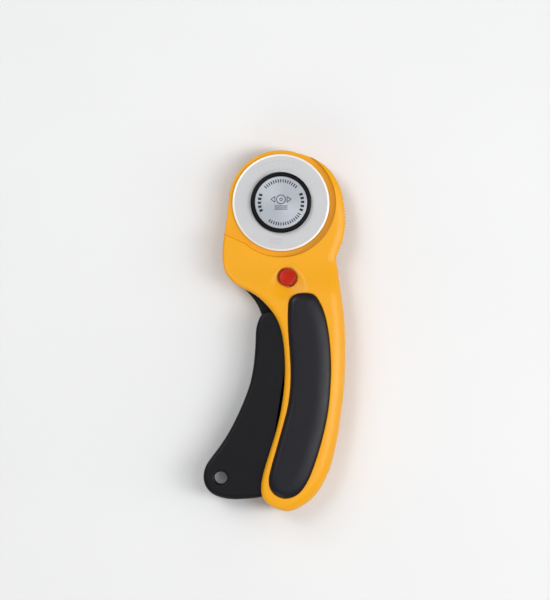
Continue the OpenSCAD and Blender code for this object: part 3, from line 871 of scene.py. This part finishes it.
def lip_cutter(face, way):
    """Rounds the hang hole's lip at a face of the lever, and leaves a hair-deep ring round it."""
    ring_r, ring_depth = HANG_R + HANG_LIP + 0.7, 0.003
    lip = [
        (HANG_R + HANG_LIP * (1 - math.cos(t)), face - way * (HANG_LIP * (1 - math.sin(t)) + ring_depth))
        for t in np.radians(np.linspace(0, 90, 9))
    ]
    profile = [(0, lip[0][1]), *lip, (ring_r, lip[-1][1]), (ring_r, face + way), (0, face + way)]
    return lathe("cutter", profile if way == 1 else profile[::-1], 96, HANG)


def squeeze_lever():
    """Squeeze lever with a slot for the arm and a hang hole in its tail."""
    low, high = bottom_of("squeeze_lever"), top_of("squeeze_lever")
    edge = (1.9, 1.7)
    made = pillow("lever_grip", smooth_outline(LEVER, 0.6), low, high, (edge, edge))
    arm_line = evenly(smooth_outline(ARM), 0.8)
    cutters = [
        prism(arm_line - HAIR * normals_in(arm_line), ARM_BOTTOM - HAIR, ARM_TOP + HAIR),
        rod(HANG, HANG_R, -1, TOOL_TOP + 1),
    ]
    rivet_sink = 1.2
    for face, way in ((high, 1), (low, -1)):
        cutters.append(lip_cutter(face, way))
        for at in RIVETS:
            cutters.append(rod(at, RIVET_HEAD_R, *sorted((face - way * rivet_sink, face + way))))
    cutters += [rod(at, RIVET_R, low + 1, high - 1) for at in RIVETS]
    made = shaded(combined(made, cutters), 30)
    return dressed(made, "lever", NYLON, "black_nylon", "squeeze_lever")


def blade_arm():
    """Flat arm that carries the blade's axle and turns on the pivot."""
    edge = (0.35, 0.35)
    made = pillow("arm_plate", smooth_outline(ARM, 0.5), ARM_BOTTOM, ARM_TOP, (edge, edge), steps=4)
    post_angle, post_from_pivot, post_r, post_height = math.radians(-83), 7.6, 0.8, 1.6
    post_at = PIVOT + post_from_pivot * np.array([math.cos(post_angle), math.sin(post_angle)])
    bosses = [
        rod((0, 0), FRONT_HUB_R, ARM_TOP - 0.5, top_of("blade_arm")),
        rod((0, 0), REAR_HUB_R, bottom_of("blade_arm"), ARM_BOTTOM + 0.5),
        rod(post_at, post_r, ARM_TOP - 0.5, ARM_TOP + post_height),
    ]
    made = combined(made, bosses, "UNION")
    square_half, bolt_hole_r, plunger_slot_r = 2.85, 2.65, 2.0
    square = [(x * square_half, y * square_half) for x, y in ((-1, -1), (1, -1), (1, 1), (-1, 1))]
    cutters = [
        rod(PIVOT, PIN_R + HAIR, 0, TOOL_TOP),
        prism(square, ARM_BOTTOM, TOOL_TOP),
        rod((0, 0), bolt_hole_r, 0, MID),
        prism(capsule(BUTTON, swung(BUTTON, -SWING), plunger_slot_r), 0, TOOL_TOP),
    ]
    cutters += [rod(at, RIVET_R, 0, TOOL_TOP) for at in RIVETS]
    made = shaded(combined(made, cutters), 30)
    return dressed(made, "lever", NYLON, "black_nylon", "blade_arm")


# ---------------------------------------------------------------- turned pieces


def flange():
    """Ring that clamps the blade, with a fine groove round the disc and a seat for the bolt's head."""
    low, high = bottom_of("clamp_flange"), top_of("clamp_flange")
    r, groove_r, seat_r, hole_r = 14.15, 12.45, 7, 4
    seat = high - 1.8
    profile = softened(
        [(hole_r, low), (r - 0.4, low), (r, low + 0.4), (r, high - 0.7), (r - 0.7, high),
         (groove_r + 0.15, high), (groove_r, high - 0.12), (groove_r - 0.15, high),
         (seat_r, high), (seat_r, seat), (hole_r, seat)],
        [0, 0.1, 0.2, 0.35, 0.35, 0.06, 0.06, 0.06, 0, 0, 0],
    )  # fmt: skip
    made = shaded(lathe("clamp_ring", profile, 240), 40)
    return dressed(made, "arbor", BLACK, "black_flange", "clamp_flange")


def face_disc():
    """Thin satin disc on the flange."""
    low, high = bottom_of("face_disc"), top_of("face_disc")
    r = 12.1
    profile = softened(
        [(0, low), (r, low), (r, high - 0.16), (r - 0.22, high), (0, high)], [0, 0.05, 0.08, 0.12, 0]
    )
    made = shaded(lathe("satin_disc", profile, 240), 50)
    return dressed(made, "arbor", SATIN, "satin_aluminium", "face_disc")


def blade():
    """Round blade, ground to an edge on both faces."""
    low, high = bottom_of("blade"), top_of("blade")
    r, bore_r, bevel = 22.5, 4.05, 0.85
    step_in, step_down = 0.02, 0.004
    profile = [
        (bore_r, low), (r - bevel, low), (r - bevel + step_in, low + step_down), (r, (low + high) / 2),
        (r - bevel + step_in, high - step_down), (r - bevel, high), (bore_r, high),
    ]  # fmt: skip
    made = shaded(lathe("round_blade", profile, 360), 5)
    dressed(made, "blade_wheel", BLADE, "blade_steel", "blade")
    made.data.materials.append(GROUND)
    for face in made.data.polygons:
        away = math.hypot(face.center.x / MM - AXLE.x, face.center.y / MM - AXLE.y)
        face.material_index = int(away > r - bevel)
    return made


def blade_marks():
    """Faint etched panel outlines on the blade, with plain bars in place of words."""
    low = top_of("blade") - 0.004
    high = low + 0.012
    line_half, bar_half_angle = 0.07, 0.004
    plans = []
    for middle_angle, spread, near, far in ((94, 30, 15.6, 19.4), (-98, 9, 17.0, 19.0)):
        for r in (near, far):
            steps = np.radians(np.linspace(middle_angle - spread, middle_angle + spread, 25))
            for a, b in zip(steps, steps[1:], strict=False):
                plans.append(sector(a, b, r - line_half, r + line_half))
        for a in np.radians(np.linspace(middle_angle - spread, middle_angle + spread, 9)):
            plans.append(sector(a - bar_half_angle, a + bar_half_angle, near, far))
    return dressed(slabs("blade_marks", plans, low, high), "blade_wheel", ETCH, "blade_steel")


def button():
    """Lock plunger: foot, thin neck, locking collar, and a dished pad with grooves for the detent ring."""
    top, foot = top_of("lock_button"), bottom_of("lock_button")
    foot_r, neck_r, collar_r, r = 1.6, 1, 1.9, BUTTON_R
    neck, collar, pad = foot + 1.7, ARM_TOP + 0.2, FLOOR_OUT + 3.1
    groove, depth, travel = pad + 0.6, 0.25, 3
    profile = [(0, foot), (foot_r, foot), (foot_r, neck), (neck_r, neck), (neck_r, collar),
               (collar_r, collar), (collar_r, pad), (r, pad)]  # fmt: skip
    for z in (groove, groove + travel):
        profile += [(r, z - depth), (r - depth, z), (r, z + depth)]
    crown = softened(
        [(r, groove + travel + 0.3), (r, top - 0.25), (r - 0.7, top), (r - 1.2, top - 0.3), (0, top - 0.7)],
        [0, 0.4, 0.3, 0.4, 0],
    )
    made = shaded(lathe("red_button", profile + crown, 120, BUTTON), 40)
    return dressed(made, "lock", RED, "red_plastic", "lock_button")


def nut():
    """Finger nut behind the head, scalloped for grip."""
    low, high = bottom_of("nut_knob"), top_of("nut_knob")
    outer_r, scallops, insert_r, insert_foot = 11, 10, 4.4, 0.8
    a = np.linspace(0, 2 * math.pi, 480, endpoint=False)
    r = outer_r - (0.5 * (1 + np.cos(scallops * a))) ** 3
    line = np.column_stack([r * np.cos(a), r * np.sin(a)])
    made = pillow("finger_nut", line, low, high, ((0.9, 0.9), (0.6, 0.6)), steps=6)
    made = shaded(combined(made, [rod((0, 0), insert_r, insert_foot, high + 1)]), 35)
    return dressed(made, "nut", BLACK, "black_nylon", "nut_knob")


# ---------------------------------------------------------------- marks on the face disc


def ribbon(line, width):
    """Outlines, out and back, of a stroke of that width along a closed line."""
    inward = normals_in(np.array(line, float))
    return np.array(line) - inward * width / 2, np.array(line) + inward * width / 2


def disc_marks():
    """A sign for a diameter inside a ring of plain ticks, in place of words, a hair proud of the disc."""
    low = top_of("face_disc") - 0.01
    high = low + 0.04
    plans = []

    def stroke(line, width):
        outer, inner = ribbon(line, width)
        for i in range(len(line)):
            j = (i + 1) % len(line)
            plans.append([outer[i], outer[j], inner[j], inner[i]])

    # A circle with a dot, between two arrowheads
    sign_y = 1.4
    for r, width in ((2.05, 0.36), (0.6, 0.3)):
        stroke(circle((0, sign_y), r, 0.3), width)
    for way in (-1, 1):
        arrow = [(2.8 * way, sign_y - 1.3), (4.7 * way, sign_y), (2.8 * way, sign_y + 1.3)]
        stroke(evenly(np.array(arrow[::way]), 0.3), 0.34)
    # A hatched bar
    stroke([(-3.1, -3.3), (2.9, -3.3), (3.1, -1.5), (-2.9, -1.5)], 0.2)
    for x in np.arange(-2.5, 2.6, 0.5):
        plans.append([(x - 0.1, -3.0), (x + 0.1, -3.0), (x + 0.2, -1.8), (x, -1.8)])
    # Rows of ticks: first and last angle, angle between two, width and length
    ring_r = 10
    for first, last, step, wide, tall in (
        (46, 138, 6.4, 0.5, 1.5),
        (-122, -30, 6.4, 0.5, 1.5),
        (-20, 26, 10.5, 1.1, 1.6),
        (160, 206, 10.5, 1.1, 1.6),
    ):
        for a in np.radians(np.arange(first, last, step)):
            half = wide / 2 / ring_r
            plans.append(sector(a - half, a + half, ring_r - tall / 2, ring_r + tall / 2))
    return dressed(slabs("disc_marks", plans, low, high), "arbor", INK, "black_flange")


# ---------------------------------------------------------------- the kept CAD nodes


def keep(node, material):
    """Shows a CAD node as it is, with its material and with its sharp edges broken."""
    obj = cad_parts[node]
    obj.data.materials.clear()
    obj.data.materials.append(material)
    if node in EDGES_BROKEN:
        weld = obj.modifiers.new("weld", "WELD")
        weld.merge_threshold = 0.004 * MM
        bevel = obj.modifiers.new("bevel", "BEVEL")
        bevel.width, bevel.segments, bevel.limit_method = 0.14 * MM, 2, "ANGLE"
        bevel.angle_limit = math.radians(40)


EDGES_BROKEN = ("shell_screws", "lock_cap", "arm_rivets", "pivot_pin")
# The CAD nodes that show as they are, and their materials
KEPT = {
    "shell_screws": ZINC,
    "pivot_pin": ZINC,
    "arm_rivets": ZINC,
    "arbor_bolt": ZINC,
    "return_spring": SPRING,
    "detent_ring": SPRING,
    "tension_washer": SPRING,
    "nut_insert": BRASS,
    "lock_cap": RED,
}


# ---------------------------------------------------------------- studio


# Each lamp's name, place, size, watts and colour
LAMPS = (
    ("key", (-0.55, 0.6, 0.9), (0.6, 0.6), 3.3, (1, 1, 1)),
    ("left_high", (-0.75, 0.6, 1.9), (0.5, 0.5), 6.5, (1, 1, 1)),
    ("right_strip", (0.9, -0.05, 0.55), (0.4, 1.0), 3.2, (1.0, 0.98, 0.95)),
    ("right_high", (0.7, -0.1, 1.15), (0.35, 1.0), 7.0, (0.96, 0.97, 1.0)),
    ("tail_fill", (-0.35, -0.95, 0.5), (0.6, 0.6), 2.2, (1.0, 0.95, 0.85)),
)
LAMPS_AIM = (0, 0, 0.01)
ROOM_COLOUR, ROOM_STRENGTH = (0.93, 0.95, 1.0, 1.0), 0.36


def pale_floor():
    span = 12.0
    corners = [(x * span, y * span, 0) for x, y in ((-1, -1), (1, -1), (1, 1), (-1, 1))]
    mesh = bpy.data.meshes.new("floor")
    mesh.from_pydata(corners, [], [(0, 1, 2, 3)])
    floor = bpy.data.objects.new("floor", mesh)
    bpy.context.scene.collection.objects.link(floor)
    paint = Paint("pale_floor")
    tone = paint.noise(0.01, 3.0)
    base = paint.blend(tone, linear(229, 229, 228), linear(235, 235, 234))
    roughness = paint.ranged(tone, 0.3, 0.7, 0.75, 0.85)
    mesh.materials.append(paint.finish(base, roughness, paint.bump(tone, 0.01)))


def pale_room():
    world = bpy.data.worlds.new("pale_room")
    world.use_nodes = True
    background = world.node_tree.nodes["Background"]
    background.inputs["Color"].default_value = ROOM_COLOUR
    background.inputs["Strength"].default_value = ROOM_STRENGTH
    bpy.context.scene.world = world


def softbox(name, place, size, watts, colour):
    """Soft lamp that points at the tool."""
    data = bpy.data.lights.new(name, "AREA")
    data.shape, data.size, data.size_y = "RECTANGLE", size[0], size[1]
    data.energy, data.color = watts, colour
    lamp = bpy.data.objects.new(name, data)
    lamp.location = place
    lamp.rotation_euler = (Vector(LAMPS_AIM) - Vector(place)).to_track_quat("-Z", "Y").to_euler()
    bpy.context.scene.collection.objects.link(lamp)


def camera():
    """Looks straight down, with the tool a little below and to the right of the middle."""
    data = bpy.data.cameras.new("camera")
    data.lens, data.sensor_width = 200.0, 36.0
    data.clip_start, data.clip_end = 0.05, 40.0
    shown_height, shown_plane = 0.2784, 0.016
    distance = shown_height * data.lens / data.sensor_width
    cam = bpy.data.objects.new("camera", data)
    cam.location = (0.00019, 0.01421, shown_plane + distance)
    bpy.context.scene.collection.objects.link(cam)
    bpy.context.scene.camera = cam


front_shell()
rear_shell()
grip("front_pad", False, "front_grip")
grip("rear_pad", True, "rear_grip")
squeeze_lever()
blade_arm()
flange()
face_disc()
disc_marks()
blade()
blade_marks()
button()
nut()
for node, material in KEPT.items():
    keep(node, material)

pale_floor()
pale_room()
for lamp in LAMPS:
    softbox(*lamp)
camera()
bpy.context.scene.view_settings.view_transform = "Standard"
